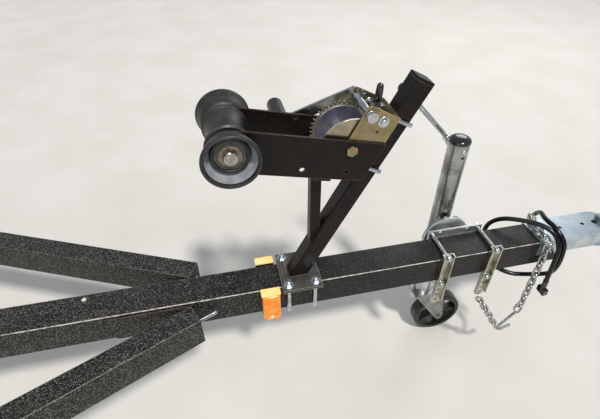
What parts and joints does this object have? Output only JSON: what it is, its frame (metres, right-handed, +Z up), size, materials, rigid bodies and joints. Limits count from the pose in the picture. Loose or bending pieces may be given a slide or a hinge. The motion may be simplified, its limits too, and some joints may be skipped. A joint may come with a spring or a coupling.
{
  "type": "boat trailer",
  "caption": "Bolted steel boat trailer with winch stand, bow roller, swing-up jack, ball coupler, carpeted bunks and road wheels.",
  "frame": {"origin": "centre of the hitch ball's socket in the coupler", "axes": "+X forward along the tongue, +Y to port (left), +Z up; the ground is 0.44 m below the origin"},
  "size_m": [5.111, 1.712, 0.9317],
  "materials": {
    "speckled_black_paint": "textured black paint with fine pale speckles",
    "satin_black_paint": "satin brown-black paint",
    "fender_paint": "gloss black paint",
    "bright_zinc": "bright zinc plating",
    "yellow_zinc": "yellow chromate zinc plating",
    "wheel_paint": "pale grey wheel paint",
    "tyre_rubber": "road tyre rubber",
    "roller_rubber": "dusty black moulded rubber",
    "black_plastic": "black moulded plastic",
    "cord_jacket": "black cable jacket",
    "amber_lens": "amber lamp lens",
    "red_lens": "red lamp lens",
    "bunk_carpet": "charcoal marine carpet"
  },
  "bodies": {
    "frame": {"axle_beam": "satin_black_paint", "axle_clamps": "bright_zinc", "bow_roller_pin": "bright_zinc", "bunk_brackets": "satin_black_paint", "bunk_left": "bunk_carpet", "bunk_right": "bunk_carpet", "chain_hook": "bright_zinc", "coupler_body": "bright_zinc", "coupler_bolts": "bright_zinc", "coupler_latch": "bright_zinc", "cross_member_front": "speckled_black_paint", "cross_member_middle": "speckled_black_paint", "cross_member_rear": "speckled_black_paint", "fender_brackets": "fender_paint", "fender_left": "fender_paint", "fender_right": "fender_paint", "harness_cord": "cord_jacket", "harness_plug": "black_plastic", "jack_mount": "bright_zinc", "jack_rods": "bright_zinc", "jack_straps": "yellow_zinc", "leaf_springs": "satin_black_paint", "marker_lamps": "amber_lens", "post_clamp_plate": "satin_black_paint", "post_strut": "satin_black_paint", "post_u_bolts": "bright_zinc", "rail_end_bolts": "bright_zinc", "rail_joint_plates": "speckled_black_paint", "rail_left": "speckled_black_paint", "rail_right": "speckled_black_paint", "rear_brackets": "satin_black_paint", "rear_lamp_housings": "black_plastic", "rear_lamp_lenses": "red_lens", "safety_chains": "bright_zinc", "spring_hangers": "satin_black_paint", "tongue_tube": "speckled_black_paint", "winch_bracket": "satin_black_paint", "winch_frame": "yellow_zinc", "winch_pawl": "roller_rubber", "winch_post": "satin_black_paint", "winch_post_cap": "satin_black_paint"},
    "bow_roller": {"bow_roller_spool": "roller_rubber", "bow_roller_bells": "roller_rubber"},
    "winch_drum": {"winch_drum": "yellow_zinc"},
    "winch_crank": {"winch_crank": "bright_zinc", "winch_grip": "black_plastic"},
    "jack_swing": {"jack_tube": "bright_zinc", "jack_cap": "black_plastic"},
    "jack_crank": {"jack_crank": "bright_zinc", "jack_crank_grip": "black_plastic"},
    "jack_leg": {"jack_leg": "bright_zinc"},
    "jack_caster": {"jack_fork": "bright_zinc"},
    "jack_wheel": {"jack_wheel": "black_plastic"},
    "wheel_left": {"hub_left": "bright_zinc", "rim_left": "wheel_paint", "tyre_left": "tyre_rubber"},
    "wheel_right": {"hub_right": "bright_zinc", "rim_right": "wheel_paint", "tyre_right": "tyre_rubber"}
  },
  "joints": [
    {"name": "bow_roller_turn", "type": "hinge", "parent": "frame", "child": "bow_roller", "pos_m": [-0.927, 0, 0.407], "axis": [0, 1, 0], "continuous": true},
    {"name": "winch_drum_turn", "type": "hinge", "parent": "frame", "child": "winch_drum", "pos_m": [-0.71048, 0, 0.37701], "axis": [0, 1, 0], "continuous": true},
    {"name": "winch_crank_turn", "type": "hinge", "parent": "frame", "child": "winch_crank", "pos_m": [-0.67817, 0, 0.43933], "axis": [0, 1, 0], "continuous": true},
    {"name": "jack_swing_up", "type": "hinge", "parent": "frame", "child": "jack_swing", "pos_m": [-0.395, 0.0635, 0.01], "axis": [0, 1, 0], "range_deg": [0, 90]},
    {"name": "jack_leg_slide", "type": "slide", "parent": "jack_swing", "child": "jack_leg", "axis": [0, 0, -1], "range_m": [-0.085, 0.165]},
    {"name": "jack_crank_turn", "type": "hinge", "parent": "jack_swing", "child": "jack_crank", "pos_m": [-0.395, 0.13, 0.249], "axis": [0, 1, 0], "continuous": true},
    {"name": "jack_caster_turn", "type": "hinge", "parent": "jack_leg", "child": "jack_caster", "pos_m": [-0.395, 0.099, -0.248], "axis": [0, 0, 1], "continuous": true},
    {"name": "jack_wheel_turn", "type": "hinge", "parent": "jack_caster", "child": "jack_wheel", "pos_m": [-0.327, 0.099, -0.364], "axis": [0, 1, 0], "continuous": true},
    {"name": "wheel_left_turn", "type": "hinge", "parent": "frame", "child": "wheel_left", "pos_m": [-3.65, 0.7, -0.14], "axis": [0, 1, 0], "continuous": true},
    {"name": "wheel_right_turn", "type": "hinge", "parent": "frame", "child": "wheel_right", "pos_m": [-3.65, -0.7, -0.14], "axis": [0, 1, 0], "continuous": true}
  ],
  "couplings": [
    {"joint": "winch_crank_turn", "follows": "winch_drum_turn", "ratio": -4.2}
  ]
}
